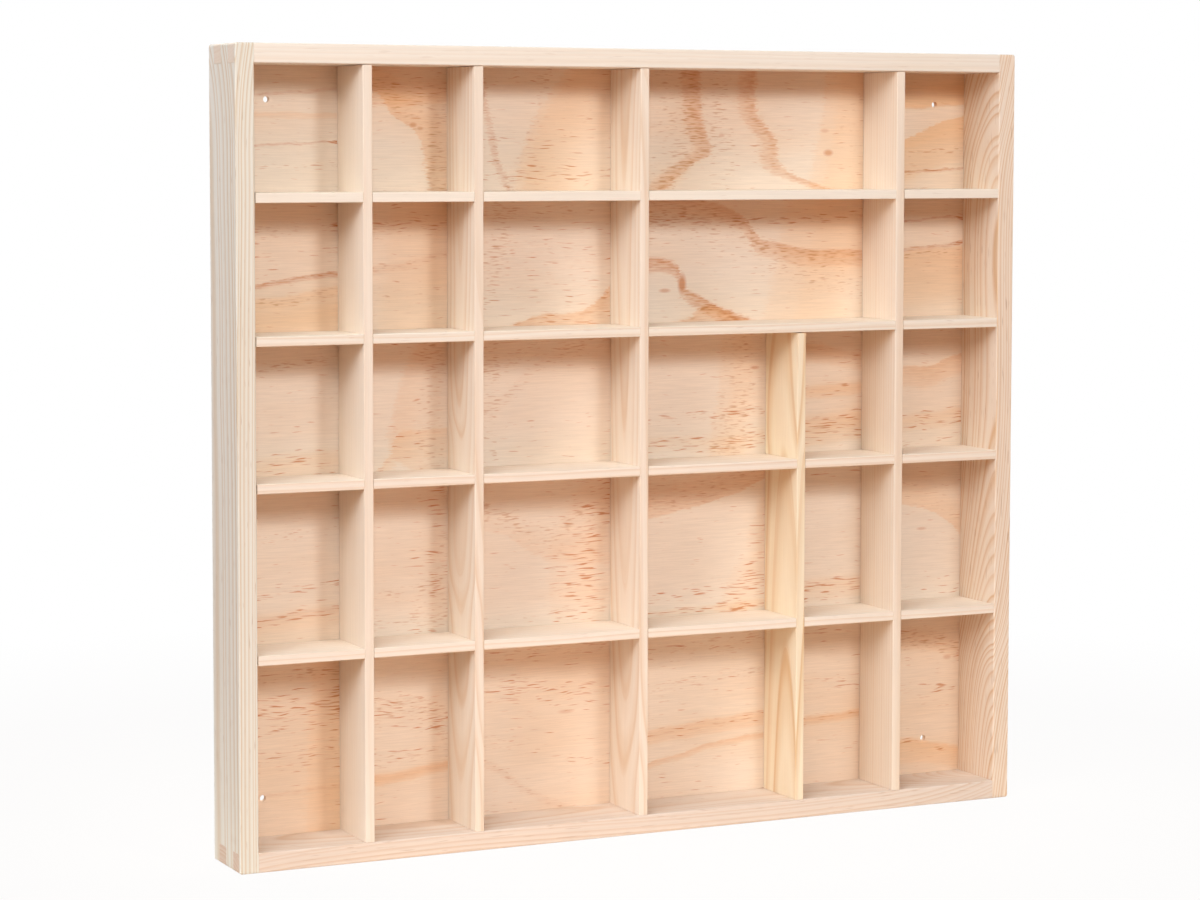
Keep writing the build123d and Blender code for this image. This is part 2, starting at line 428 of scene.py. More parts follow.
# The face veneer's figure, one entry for each compartment: its row, its first and its last column,
# its share of yellow sapwood all over, then its bands. A band follows a line, either across the panel
# (places are X and the line's Z) or down it (places are Z and the line's X). It rises over the first
# width before the line and falls over the second one behind it. The last values say what the band
# brings: brown latewood, yellow sapwood, short resin dashes or long thin lines. All lengths are part
# millimetres.
VENEER = [
    (1, 1, 1, 0.08, [
        ("across", [(-196, 352), (-156, 355), (-144, 356)], 2.5, 1.2, {"latewood": 0.3, "dashes": 0.6}),
        ("across", [(-196, 343), (-144, 343.5)], 2.5, 2, {"sapwood": 0.35}),
        ("across", [(-196, 328), (-170, 330), (-144, 331.5)], 1.2, 0.6, {"latewood": 0.4, "lines": 0.6}),
        ("across", [(-196, 318), (-144, 321)], 3, 2, {"dashes": 0.5, "lines": 0.4}),
    ]),
    (1, 2, 2, 0.2, [
        ("down", [(366, -135), (352, -122), (345, -117), (335, -104), (325, -100), (315, -99), (308, -97)],
         1.5, 45, {"sapwood": 0.45, "dashes": 0.5, "latewood": 0.08}),
        ("across", [(-139.5, 350), (-89, 352)],
         4, 14, {"sapwood": 0.35, "dashes": 0.1, "lines": 0.3, "latewood": 0.1}),
        ("down", [(366, -92), (340, -94), (325, -97), (308, -96)], 6, 12, {"dashes": 0.3}),
    ]),
    (1, 3, 3, 0.1, [
        ("down", [(366, -36), (350, -40), (333, -46), (320, -52), (308, -56)],
         5, 3, {"dashes": 0.75, "latewood": 0.08}),
        ("down", [(366, -72), (335, -66), (320, -62), (310, -58)], 3, 2, {"latewood": 0.3, "dashes": 0.7}),
        ("down", [(366, -20), (345, -36), (325, -44), (308, -48)], 8, 60, {"sapwood": 0.45, "lines": 0.3}),
        ("across", [(-84.5, 314), (-3.5, 316)], 3, 3, {"lines": 0.6, "dashes": 0.3}),
        ("across", [(-84.5, 331), (-3.5, 333)], 1.5, 1.5, {"lines": 0.6}),
        ("across", [(-84.5, 357), (-50, 360), (-3.5, 364)], 3, 6, {"dashes": 0.55}),
    ]),
    (1, 4, 5, 0.28, [
        ("down", [(366, 42), (356, 43), (345, 44), (335, 46), (328, 49), (324, 46), (320, 38), (315, 31),
                  (308, 24)],
         11, 4, {"latewood": 0.34, "sapwood": 0.3, "dashes": 0.6}),
        ("down", [(366, 74), (358, 73), (345, 75), (338, 80), (332, 85), (322, 86), (316, 92), (312, 103),
                  (308, 118)],
         10, 4, {"latewood": 0.32, "sapwood": 0.3, "dashes": 0.5}),
        ("down", [(366, 58), (345, 57), (325, 60), (308, 59)], 14, 8, {"dashes": 0.75}),
        ("down", [(366, 37), (345, 38), (328, 42), (308, 25)], 40, 8, {"dashes": 0.75, "sapwood": 0.15}),
        ("down", [(366, 128), (350, 126), (325, 122), (308, 116)], 16, 90, {"sapwood": 0.5}),
        ("down", [(366, 137), (308, 134)], 22, 20, {"dashes": 0.7}),
        ("across", [(1, 332), (137, 340)], 44, 44, {"dashes": 0.2, "latewood": 0.12}),
    ]),
    (1, 6, 6, 0.4, [
        ("across", [(141.5, 325), (163, 333), (180, 340), (196, 344)],
         26, 1, {"sapwood": 0.75, "latewood": 0.08}),
        ("across", [(141.5, 348), (196, 351)], 1.5, 26, {"sapwood": 0.65}),
        ("across", [(141.5, 316.5), (170, 317), (196, 319)], 1, 0.6, {"latewood": 0.5, "lines": 0.8}),
        ("across", [(141.5, 325), (196, 328)], 2.5, 2.5, {"dashes": 0.6, "lines": 0.3}),
    ]),
    (2, 1, 1, 0.28, [
        ("across", [(-196, 264), (-185, 265), (-165, 268), (-144, 270)],
         2.6, 0.9, {"latewood": 0.55, "lines": 0.5}),
        ("across", [(-196, 256), (-170, 258), (-144, 262)], 4, 4, {"dashes": 0.8, "sapwood": 0.3}),
        ("across", [(-196, 246), (-144, 250)], 20, 16, {"sapwood": 0.4}),
        ("across", [(-196, 289), (-144, 293)], 5, 6, {"dashes": 0.55, "lines": 0.3}),
        ("across", [(-196, 278), (-144, 281)], 3, 2, {"lines": 0.4}),
    ]),
    (2, 2, 2, 0.18, [
        ("across", [(-139.5, 270), (-118, 272), (-105, 274), (-97, 277), (-89, 279)],
         3, 2.5, {"dashes": 0.85, "latewood": 0.15}),
        ("across", [(-139.5, 289), (-89, 292)], 6, 8, {"dashes": 0.65, "lines": 0.4}),
        ("across", [(-139.5, 258), (-89, 262)], 7, 6, {"dashes": 0.55}),
        ("down", [(303, -94), (243.5, -98)], 30, 50, {"sapwood": 0.3}),
    ]),
    (2, 3, 3, 0.12, [
        ("down", [(303, -58), (285, -63), (270, -66), (243.5, -78)], 9, 9, {"dashes": 0.7}),
        ("across", [(-84.5, 238), (-58, 243), (-40, 248), (-22, 249), (-10, 255), (-3.5, 262)],
         26, 1.2, {"sapwood": 0.5, "latewood": 0.16, "lines": 0.3}),
        ("across", [(-84.5, 296), (-30, 299), (-3.5, 300)], 4, 4, {"dashes": 0.5}),
        ("across", [(-84.5, 276), (-3.5, 278)], 34, 30, {"lines": 0.2, "dashes": 0.2, "latewood": 0.1}),
    ]),
    (2, 4, 5, 0.22, [
        ("across", [(1, 306), (17, 305), (28, 304), (45, 302), (57, 299), (68, 294), (74, 286), (80, 281),
                    (92, 279), (105, 277), (118, 276), (137, 276)],
         9, 3, {"latewood": 0.36, "sapwood": 0.3, "dashes": 0.6}),
        ("across", [(1, 271), (17, 273), (25, 273), (32, 270), (35, 263), (38, 258), (46, 254), (56, 249.5),
                    (68, 245), (80, 240)],
         7, 2.6, {"latewood": 0.52, "sapwood": 0.3, "dashes": 0.5}),
        ("across", [(1, 292), (40, 292), (70, 282), (95, 268), (137, 258)], 16, 14, {"dashes": 0.7}),
        ("across", [(1, 276), (90, 276), (137, 280)], 44, 36, {"dashes": 0.3, "latewood": 0.12}),
        ("down", [(303.5, 118), (275, 112), (243.5, 104)], 30, 60, {"sapwood": 0.55}),
        ("across", [(1, 238), (38, 243), (50, 249), (66, 243), (80, 236)],
         10, 4, {"sapwood": 0.5, "latewood": 0.2, "dashes": 0.7}),
        ("across", [(60, 293), (95, 293), (137, 296)], 3, 4, {"dashes": 0.6, "lines": 0.5}),
    ]),
    (2, 6, 6, 0.32, [
        ("across", [(141.5, 291.5), (170, 292.5), (196, 294)], 1.6, 0.8, {"latewood": 0.5, "lines": 0.8}),
        ("across", [(141.5, 274), (161, 277), (180, 279), (196, 282)],
         2, 0.8, {"latewood": 0.55, "lines": 0.5}),
        ("across", [(141.5, 272), (172, 275), (196, 277)], 2.5, 2, {"dashes": 0.7}),
        ("across", [(141.5, 272), (196, 278)], 34, 3, {"sapwood": 0.5, "dashes": 0.2}),
    ]),
    (3, 1, 1, 0.0, [
        ("across", [(-196, 224), (-170, 227), (-144, 231)], 4, 5, {"dashes": 0.8}),
        ("across", [(-196, 180), (-144, 184)], 10, 8, {"sapwood": 0.25, "lines": 0.3}),
        ("across", [(-196, 210), (-144, 213)], 5, 5, {"dashes": 0.25}),
    ]),
    (3, 2, 2, 0.0, [
        ("down", [(239, -97), (215, -98), (195, -100), (177, -97)], 7, 12, {"dashes": 0.8}),
        ("down", [(239, -100), (215, -112), (200, -115), (190, -117), (177, -104)],
         4, 26, {"sapwood": 0.22, "latewood": 0.06}),
        ("across", [(-139.5, 170), (-118, 184), (-115, 193), (-100, 195), (-89, 195)],
         16, 1.2, {"sapwood": 0.35, "lines": 0.2}),
        ("across", [(-139.5, 231), (-89, 235)], 5, 4, {"dashes": 0.4}),
    ]),
    (3, 3, 3, 0.0, [
        ("across", [(-84.5, 196), (-70, 203), (-55, 213), (-45, 222), (-30, 230), (-3.5, 238)],
         7, 5, {"dashes": 0.7, "latewood": 0.05}),
        ("across", [(-84.5, 222), (-55, 228), (-35, 236), (-3.5, 240)], 8, 8, {"dashes": 0.6}),
        ("down", [(225, -66), (177, -66)], 9, 8, {"dashes": 0.65}),
        ("down", [(239, -20), (177, -40)], 25, 60, {"sapwood": 0.08}),
    ]),
    (3, 4, 4, 0.0, [
        ("down", [(239, 68), (210, 66), (177, 62)], 14, 20, {"dashes": 0.75, "sapwood": 0.35}),
        ("across", [(1, 183), (30, 184), (55, 183), (82, 186)],
         6, 6, {"lines": 0.7, "dashes": 0.3, "sapwood": 0.2}),
        ("across", [(1, 196), (82, 199)], 5, 5, {"lines": 0.5, "dashes": 0.3}),
    ]),
    (3, 5, 5, 0.3, [
        ("across", [(86.5, 187), (137, 191)], 12, 12, {"sapwood": 0.5, "lines": 0.75, "latewood": 0.06}),
        ("across", [(86.5, 230), (105, 228), (137, 223)],
         8, 6, {"sapwood": 0.4, "latewood": 0.1, "lines": 0.4}),
        ("across", [(86.5, 207), (137, 209)], 5, 5, {"sapwood": 0.4, "lines": 0.4}),
    ]),
    (3, 6, 6, 0.25, [
        ("across", [(141.5, 219), (162, 218), (175, 217), (192, 223), (196, 224)],
         13, 1, {"latewood": 0.15, "sapwood": 0.4, "lines": 0.2}),
        ("across", [(141.5, 189), (196, 193)], 7, 6, {"lines": 0.65, "sapwood": 0.35}),
        ("across", [(141.5, 178), (196, 181)], 4, 4, {"lines": 0.5}),
    ]),
    (4, 1, 1, 0.0, [
        ("across", [(-196, 119), (-183, 121), (-144, 127)], 3, 3, {"lines": 0.7, "dashes": 0.3}),
        ("across", [(-196, 108), (-165, 112), (-144, 114)], 4, 3, {"lines": 0.85, "latewood": 0.12}),
        ("across", [(-196, 106), (-144, 109)], 14, 12, {"sapwood": 0.4}),
        ("across", [(-196, 146), (-144, 152)], 5, 5, {"dashes": 0.4}),
    ]),
    (4, 2, 2, 0.0, [
        ("down", [(140, -92), (99, -96)], 16, 10, {"dashes": 0.5, "lines": 0.3}),
        ("across", [(-139.5, 118), (-118, 119), (-89, 126)], 8, 4, {"dashes": 0.5}),
        ("across", [(-139.5, 104), (-89, 106)], 4, 5, {"dashes": 0.45}),
        ("down", [(172, -96), (99, -98)], 14, 30, {"sapwood": 0.05}),
    ]),
    (4, 3, 3, 0.0, [
        ("across", [(-84.5, 158), (-62, 155), (-50, 148), (-40, 143), (-20, 150), (-3.5, 155)],
         8, 8, {"dashes": 0.8}),
        ("across", [(-84.5, 149), (-70, 147), (-55, 142), (-48, 137), (-38, 131), (-20, 129), (-3.5, 128)],
         1.2, 26, {"sapwood": 0.12, "dashes": 0.25, "latewood": 0.04}),
        ("down", [(150, -8), (130, -16), (99, -14)],
         26, 14, {"sapwood": 0.25, "lines": 0.6, "latewood": 0.05}),
        ("across", [(-84.5, 103), (-3.5, 105)], 4, 4, {"dashes": 0.5}),
    ]),
    (4, 4, 4, 0.0, [
        ("across", [(1, 146), (17, 148), (40, 152), (60, 157), (82, 165)],
         1, 34, {"sapwood": 0.4, "latewood": 0.14, "dashes": 0.4}),
        ("across", [(1, 108), (82, 112)], 5, 4, {"lines": 0.5}),
        ("across", [(1, 100), (82, 103)], 4, 3, {"lines": 0.7, "sapwood": 0.3}),
        ("down", [(124, 76), (99, 64)], 14, 20, {"lines": 0.6, "sapwood": 0.3}),
    ]),
    (4, 5, 5, 0.0, [
        ("across", [(86.5, 107), (137, 110)], 9, 7, {"lines": 0.8, "sapwood": 0.3}),
        ("across", [(86.5, 165), (137, 166)], 2, 2, {"lines": 0.6}),
    ]),
    (4, 6, 6, 0.05, [
        ("across", [(141.5, 151), (165, 148), (180, 143), (193, 135), (196, 132)],
         0.8, 30, {"sapwood": 0.45, "dashes": 0.3}),
        ("across", [(141.5, 101), (196, 104)], 3, 3, {"lines": 0.4}),
    ]),
    (5, 1, 1, 0.33, [
        ("across", [(-196, 66), (-170, 69), (-144, 72)], 18, 12, {"lines": 0.9, "latewood": 0.08}),
        ("across", [(-196, 83), (-144, 85)], 5, 5, {"dashes": 0.7, "lines": 0.5}),
        ("across", [(-196, 44), (-144, 47)], 10, 8, {"lines": 0.6, "dashes": 0.3}),
        ("across", [(-196, 27), (-180, 28), (-144, 29.5)], 1.5, 1, {"latewood": 0.15, "lines": 0.6}),
        ("down", [(94, -144), (9, -146)], 18, 4, {"sapwood": 0.4, "lines": 0.3}),
    ]),
    (5, 2, 2, 0.2, [
        ("across", [(-139.5, 62), (-122, 66), (-108, 66), (-98, 62), (-89, 57)],
         14, 9, {"lines": 0.6, "dashes": 0.7}),
        ("across", [(-139.5, 40), (-89, 43)], 6, 5, {"dashes": 0.6, "lines": 0.4}),
        ("across", [(-139.5, 30), (-125, 31), (-97, 33), (-89, 34)],
         3, 5, {"sapwood": 0.5, "latewood": 0.08}),
    ]),
    (5, 3, 3, 0.1, [
        ("across", [(-84.5, 66), (-50, 70), (-25, 65), (-3.5, 62)], 12, 10, {"lines": 0.6, "dashes": 0.45}),
        ("across", [(-84.5, 84), (-3.5, 87)], 6, 6, {"dashes": 0.65, "lines": 0.4}),
        ("across", [(-84.5, 37), (-68, 33), (-58, 27), (-50, 21), (-30, 11), (-3.5, 4)],
         4, 3, {"latewood": 0.1, "dashes": 0.75}),
        ("across", [(-84.5, 46), (-55, 42), (-30, 34), (-3.5, 30)], 6, 6, {"dashes": 0.55, "lines": 0.3}),
        ("down", [(94, -30), (9, -34)], 30, 60, {"sapwood": 0.15}),
    ]),
    (5, 4, 4, 0.2, [
        ("across", [(1, 80), (40, 83), (82, 86)], 8, 8, {"lines": 0.7, "dashes": 0.4}),
        ("across", [(1, 62), (40, 66), (82, 68)], 8, 6, {"lines": 0.6, "dashes": 0.3}),
        ("across", [(1, 39), (35, 42), (82, 46)], 6, 5, {"lines": 0.85, "sapwood": 0.4, "latewood": 0.08}),
        ("across", [(1, 20), (30, 29), (60, 35), (82, 37)],
         3, 1, {"latewood": 0.12, "sapwood": 0.4, "lines": 0.4}),
        ("across", [(1, 8), (30, 11), (82, 13)], 3, 2, {"lines": 0.6}),
    ]),
    (5, 5, 5, 0.35, [
        ("across", [(86.5, 57), (137, 61)], 8, 7, {"lines": 0.8}),
        ("across", [(86.5, 40), (110, 42), (137, 43)],
         4, 2, {"lines": 0.7, "sapwood": 0.5, "latewood": 0.1}),
        ("across", [(86.5, 25), (137, 26)], 2, 2, {"lines": 0.6}),
        ("across", [(86.5, 84), (137, 86)], 4, 5, {"lines": 0.6}),
    ]),
    (5, 6, 6, 0.4, [
        ("across", [(141.5, 80), (163, 78), (180, 76), (196, 70)],
         6, 12, {"dashes": 0.75, "latewood": 0.08, "lines": 0.4, "sapwood": 0.2}),
        ("across", [(141.5, 55), (196, 52)], 5, 5, {"lines": 0.5}),
        ("across", [(141.5, 26), (180, 24), (196, 20)], 14, 2, {"sapwood": 0.5, "lines": 0.4}),
    ]),
]

# Pin knots and stains on the face veneer: X, Z, half length, half height and strength
SPOTS = [
    (117, 326, 2.6, 1.6, 0.6),
    (115, 337, 2.4, 1.0, 0.3),
    (-106, 339, 2.0, 1.3, 0.5),
    (-102.5, 337.3, 1.6, 0.9, 0.45),
    (57, 334.5, 1.8, 1.0, 0.35),
    (26, 259, 3.0, 1.0, 0.5),
    (35.5, 262, 2.2, 5.0, 0.75),
    (189, 68, 2.4, 1.3, 0.35),
    (-27, 56, 4.2, 1.0, 0.3),
    (173, 135, 2.8, 0.8, 0.35),
    (76, 220, 2.4, 0.9, 0.5),
]

# What a band can bring, and how strongly the veneer on the panel's back shows the same
FIGURE = ("latewood", "sapwood", "dashes", "lines")
BACK_FIGURE = {"latewood": 0.28, "sapwood": 0.5, "dashes": 0.4, "lines": 0.2}

# Y behind which the panel shows the veneer of its back, in part millimetres
BACK_VENEER = 17.0

# A band's own curve has its line here, halfway along
ON_LINE = 0.5


def compartment_figure(name, box, tan, bands):
    """A node group that adds one compartment's bands to what the other compartments bring."""
    left, right, bottom, top = box
    wide, high = right - left, top - bottom
    tree = bpy.data.node_groups.new(name, "ShaderNodeTree")
    for socket in ("face", "bent"):
        tree.interface.new_socket(name=socket, in_out="INPUT", socket_type="NodeSocketVector")
    for kind in FIGURE:
        tree.interface.new_socket(name=kind, in_out="INPUT", socket_type="NodeSocketFloat")
        tree.interface.new_socket(name=kind, in_out="OUTPUT", socket_type="NodeSocketFloat")
    given = add_node(tree, "NodeGroupInput")
    # The compartment's box becomes a square from 0 to 1, and the window is 1 inside it
    to_box = {"Scale": (1 / wide, 0, 1 / high), "Location": (-left / wide, 0, -bottom / high)}
    window = add_node(tree, "Mapping", to_box, {"Vector": given.outputs["face"]})
    window = add_node(tree, "VectorMath", {"operation": "FLOOR"}, {0: window})
    window = add_node(tree, "VectorMath", {"operation": "LENGTH"}, {0: window})
    window = add_node(tree, "Math", {"operation": "LESS_THAN", 1: 0.5}, {0: window})
    place = add_node(tree, "Mapping", to_box, {"Vector": given.outputs["bent"]})
    place = add_node(tree, "SeparateXYZ", {}, {0: place})
    sums = {}
    for way, line, rise, fall, brings in bands:
        if way == "across":
            points = [((x - left) / wide, (z - bottom) / high - ON_LINE) for x, z in line]
            run, over, size = place.outputs["X"], place.outputs["Z"], high
        else:
            points = [((z - bottom) / high, (x - left) / wide - ON_LINE) for z, x in reversed(line)]
            run, over, size = place.outputs["Z"], place.outputs["X"], wide
        curve = add_node(tree, "FloatCurve", {}, {"Value": run})
        draw_curve(curve, points)
        off = add_node(tree, "Math", {"operation": "SUBTRACT"}, {0: over, 1: curve})
        band = add_node(tree, "FloatCurve", {}, {"Value": off})
        rise, fall = rise / size, fall / size
        # The band sets in fast, rises more slowly up to its line and falls evenly behind it
        slope = [
            (-1, 0),
            (ON_LINE - rise, 0),
            (ON_LINE - rise * 0.7, 0.5),
            (ON_LINE - rise * 0.25, 0.8),
            (ON_LINE, 1),
            (ON_LINE + fall / 2, 0.5),
            (ON_LINE + fall, 0),
            (2, 0),
        ]
        draw_curve(band, slope)
        for kind, share in brings.items():
            links = {0: band}
            if kind in sums:
                links[2] = sums[kind]
            sums[kind] = add_node(tree, "Math", {"operation": "MULTIPLY_ADD", 1: share, 2: 0}, links)
    links = {0: sums["sapwood"]} if "sapwood" in sums else {}
    sums["sapwood"] = add_node(tree, "Math", {"operation": "ADD", 0: 0.0, 1: tan}, links)
    totals = {kind: given.outputs[kind] for kind in FIGURE}
    for kind, total in sums.items():
        links = {0: total, 1: window, 2: totals[kind]}
        totals[kind] = add_node(tree, "Math", {"operation": "MULTIPLY_ADD"}, links)
    add_node(tree, "NodeGroupOutput", {}, totals)
    return tree


def veneer():
    """Rotary-cut pine veneer, sanded and unfinished: the knife followed the growth rings, so their
    latewood shows as broad bands with short resin dashes along the level grain."""
    look = bpy.context.scene.tray_veneer
    material, tree = new_material("rotary_cut_pine_veneer")
    place = add_node(tree, "TexCoord")
    to_millimetres = {"Scale": (PER_METRE, PER_METRE, PER_METRE)}
    face = add_node(tree, "Mapping", to_millimetres, {"Vector": place.outputs["Object"]})
    # The bands' edges wave slowly, up to 2.5 mm, and fray along the grain
    wave = add_node(tree, "TexNoise", {"Scale": 0.045, "Detail": 2.0}, {"Vector": face})
    wave = add_node(
        tree,
        "VectorMath",
        {"operation": "MULTIPLY_ADD", 1: (5, 0, 4), 2: (-2.5, 0, -2)},
        {0: wave.outputs["Color"]},
    )
    fray = add_node(tree, "Mapping", {"Scale": (0.28, 0.2, 1.3)}, {"Vector": face})
    fray = add_node(tree, "TexNoise", {"Scale": 1.0, "Detail": 2.0}, {"Vector": fray})
    fray = add_node(
        tree,
        "VectorMath",
        {"operation": "MULTIPLY_ADD", 1: (9, 0, 1.6), 2: (-4.5, 0, -0.8)},
        {0: fray.outputs["Color"]},
    )
    waved = add_node(tree, "VectorMath", {"operation": "ADD"}, {0: face, 1: wave})
    bent = add_node(tree, "VectorMath", {"operation": "ADD"}, {0: waved, 1: fray})

    sums = {}
    for number, (row, first, last, tan, bands) in enumerate(VENEER, 1):
        box = (COLUMNS[first][0], COLUMNS[last][1], *ROWS[row])
        part = add_node(
            tree,
            "Group",
            {"node_tree": compartment_figure(f"figure_{number:02}", box, tan, bands)},
            {"face": face, "bent": bent, **sums},
        )
        sums = {kind: part.outputs[kind] for kind in FIGURE}

    # The panel's back is another veneer, with rings in broad level flames all over it. They are up to
    # 16 contours of a slow noise, and each darkens to its end.
    flames = add_node(
        tree, "Mapping", {"Scale": (0.0035, 0, 0.013), "Location": (4, 0, 2)}, {"Vector": bent}
    )
    flames = add_node(tree, "TexNoise", {"Scale": 1.0, "Detail": 0.0}, {"Vector": flames})
    flames = add_node(tree, "Math", {"operation": "MULTIPLY", 1: 16}, {0: flames})
    flames = add_node(tree, "Math", {"operation": "FRACT"}, {0: flames})
    flames = add_node(tree, "Math", {"operation": "POWER", 1: 5}, {0: flames})
    depth = add_node(tree, "SeparateXYZ", {}, {0: face}).outputs["Y"]
    behind = add_node(tree, "Math", {"operation": "GREATER_THAN", 1: BACK_VENEER}, {0: depth})
    for kind, share in BACK_FIGURE.items():
        there = add_node(tree, "Math", {"operation": "MULTIPLY", 1: share}, {0: flames})
        sums[kind] = add_node(tree, "Mix", {}, {0: behind, 2: sums[kind], 3: there})

    cloud = add_node(tree, "Mapping", {"Scale": (0.012, 0.05, 0.05)}, {"Vector": face})
    cloud = add_node(tree, "TexNoise", {"Scale": 1.0, "Detail": 2.0}, {"Vector": cloud})
    # Fibres, and resin canals cut lengthwise: these are 3 mm to 5 mm long and really about 0.2 mm high.
    # Both are drawn about 0.7 mm high, and so are the long thin lines.
    fibres = add_node(tree, "Mapping", {"Scale": (0.06, 1, 1.5)}, {"Vector": face})
    fibres = add_node(
        tree, "TexNoise", {"Scale": 1.0, "Detail": 3.0, "Roughness": 0.6}, {"Vector": fibres}
    )
    specks = add_node(tree, "Mapping", {"Scale": (0.18, 1, 1.5)}, {"Vector": face})
    specks = add_node(tree, "TexNoise", {"Scale": 1.0, "Detail": 1.0}, {"Vector": specks})
    lines = add_node(tree, "Mapping", {"Scale": (0.1, 1, 1.4)}, {"Vector": waved})
    lines = add_node(tree, "TexNoise", {"Scale": 1.0, "Detail": 1.0}, {"Vector": lines})
    # A mark shows where its noise rises over a level, which falls as the figure gets stronger
    marks = {}
    for kind, noise, level, fall, soft, strength in (
        ("dashes", specks, 0.74, 0.22, 0.15, 0.52),
        ("lines", lines, 0.7, 0.17, 0.1, 0.8),
    ):
        over = add_node(tree, "Math", {"operation": "POWER", 1: 0.5}, {0: sums[kind]})
        over = add_node(tree, "Math", {"operation": "MULTIPLY_ADD", 1: fall, 2: -level}, {0: over})
        over = add_node(tree, "Math", {"operation": "ADD"}, {0: noise, 1: over})
        marks[kind] = add_node(tree, "MapRange", {1: 0.0, 2: soft, 3: 0, 4: strength}, {0: over})

    share = add_node(tree, "Math", {"operation": "MULTIPLY_ADD", 1: 0.5, 2: -0.2}, {0: cloud})
    share = add_node(
        tree, "Math", {"operation": "ADD", "use_clamp": True}, {0: sums["sapwood"], 1: share}
    )
    colour = add_node(tree, "Mix", {**MIX, 6: look.face, 7: look.tan}, {0: share})
    # A band is itself made of short dashes
    brown = add_node(tree, "MapRange", {1: 0.38, 2: 0.62, 3: 0.55, 4: 1.35}, {0: specks})
    brown = add_node(
        tree, "Math", {"operation": "MULTIPLY", "use_clamp": True}, {0: brown, 1: sums["latewood"]}
    )
    for x, z, long, high, strength in SPOTS:
        to_spot = {"Scale": (1 / long, 0, 1 / high), "Location": (-x / long, 0, -z / high)}
        near = add_node(tree, "Mapping", to_spot, {"Vector": face})
        near = add_node(tree, "VectorMath", {"operation": "LENGTH"}, {0: near})
        near = add_node(tree, "MapRange", {1: 0.5, 2: 1.3, 3: strength, 4: 0}, {0: near})
        brown = add_node(tree, "Math", {"operation": "MAXIMUM"}, {0: brown, 1: near})
    colour = add_node(tree, "Mix", {**MIX, 7: look.latewood}, {0: brown, 6: colour})
    streaks = add_node(tree, "MapRange", {1: 0.3, 2: 0.7, 3: 0.94, 4: 1.05}, {0: fibres})
    colour = add_node(tree, "Mix", MULTIPLY, {6: colour, 7: streaks})
    colour = add_node(tree, "Mix", {**MIX, 7: look.latewood}, {0: marks["lines"], 6: colour})
    colour = add_node(tree, "Mix", {**MIX, 7: look.dashes}, {0: marks["dashes"], 6: colour})
    relief = add_node(tree, "Bump", {"Strength": 0.2, "Distance": FIBRE_RELIEF}, {"Height": fibres})
    surface = add_node(
        tree,
        "BsdfPrincipled",
        {"Roughness": 0.6, "Specular IOR Level": 0.12},
        {"Base Color": colour, "Normal": relief},
    )
    add_node(tree, "OutputMaterial", {}, {"Surface": surface})
    return material


def bright_wire():
    """Bright drawn steel wire of the panel pins."""
    material = bpy.data.materials.new("bright_steel_pins")
    material.use_nodes = True
    surface = material.node_tree.nodes["Principled BSDF"]
    surface.inputs["Base Color"].default_value = srgb("#C3C4C6")
    surface.inputs["Metallic"].default_value = 1.0
    surface.inputs["Roughness"].default_value = 0.35
    return material


# Where in the noise the first board and the first slat lie, and how much further on the next ones lie
FIRST_BOARD, NEXT_BOARD = 11.3, 4.7
FIRST_SLAT, NEXT_SLAT = 40.9, 3.3


class TRAY_OT_boards(Operator):
    """Gives the four boards of the case their sanded pine"""

    bl_idname = "tray.boards"
    bl_label = "Finish the case boards"

    def execute(self, context):
        for number, name in enumerate(("left_side", "right_side", "top_rail", "bottom_rail")):
            material = pine(name, FIRST_BOARD + NEXT_BOARD * number)
            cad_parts[name].material_slots[0].material = material
        return {"FINISHED"}


class TRAY_OT_slats(Operator):
    """Gives the shelves and dividers their sanded pine"""

    bl_idname = "tray.slats"
    bl_label = "Finish the slats"

    def execute(self, context):
        slats = [name for name in GROWTH if name.startswith(("shelf", "divider"))]
        for number, name in enumerate(slats):
            material = pine(name, FIRST_SLAT + NEXT_SLAT * number)
            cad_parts[name].material_slots[0].material = material
        return {"FINISHED"}


class TRAY_OT_panel(Operator):
    """Gives the back panel its veneer and the pins their steel"""

    bl_idname = "tray.panel"
    bl_label = "Finish the back panel"

    def execute(self, context):
        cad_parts["back_panel"].material_slots[0].material = veneer()
        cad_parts["panel_pins"].material_slots[0].material = bright_wire()
        return {"FINISHED"}


# The lamps aim here, at about half the tray's height, in metres
LAMP_AIM = Vector((0, 0, 0.19))

DAYLIGHT = "#F6FCFC"

# Lamps round the tray: name, how far right of straight in front and how high they stand in degrees,
# distance and diameter in metres, share of full light, and colour. The low one stands for the warm
# light that the table throws up from just in front of the tray.
LAMPS = [
    ("lamp_key", 10, 28, 1.27, 0.16, 0.17, DAYLIGHT),
    ("lamp_front_right", 15, 23, 1.7, 0.4, 0.17, DAYLIGHT),
    ("lamp_front_left", -20, 25, 2.0, 0.6, 0.22, DAYLIGHT),
    ("lamp_high", -40, 60, 2.0, 0.6, 0.25, DAYLIGHT),
    ("lamp_left", -60, 25, 2.0, 0.6, 0.34, DAYLIGHT),
    ("lamp_far_left", -80, 15, 1.0, 0.4, 0.2, "#DCEEFF"),
    ("lamp_low", -15, -24, 0.38, 0.12, 0.08, "#FF9C5C"),
    ("lamp_right", 97, 12, 2.0, 0.8, 0.4, DAYLIGHT),
    ("lamp_back_right", 140, 30, 2.2, 1.4, 0.5, "#FFFFFF"),
    ("lamp_back_left", -168, 35, 2.2, 1.4, 0.35, "#FFFFFF"),
]

# Light from all round, as warm as what a wooden room throws back
WARM_FILL = srgb("#FF8C4C")

# The paper's colour by the tray and further off, and between which distances from the middle one
# turns into the other, in metres
NEAR_PAPER, FAR_PAPER = srgb("#FCEEDC"), srgb("#905830")
CHANGE_FROM, CHANGE_TO = 0.14, 0.42

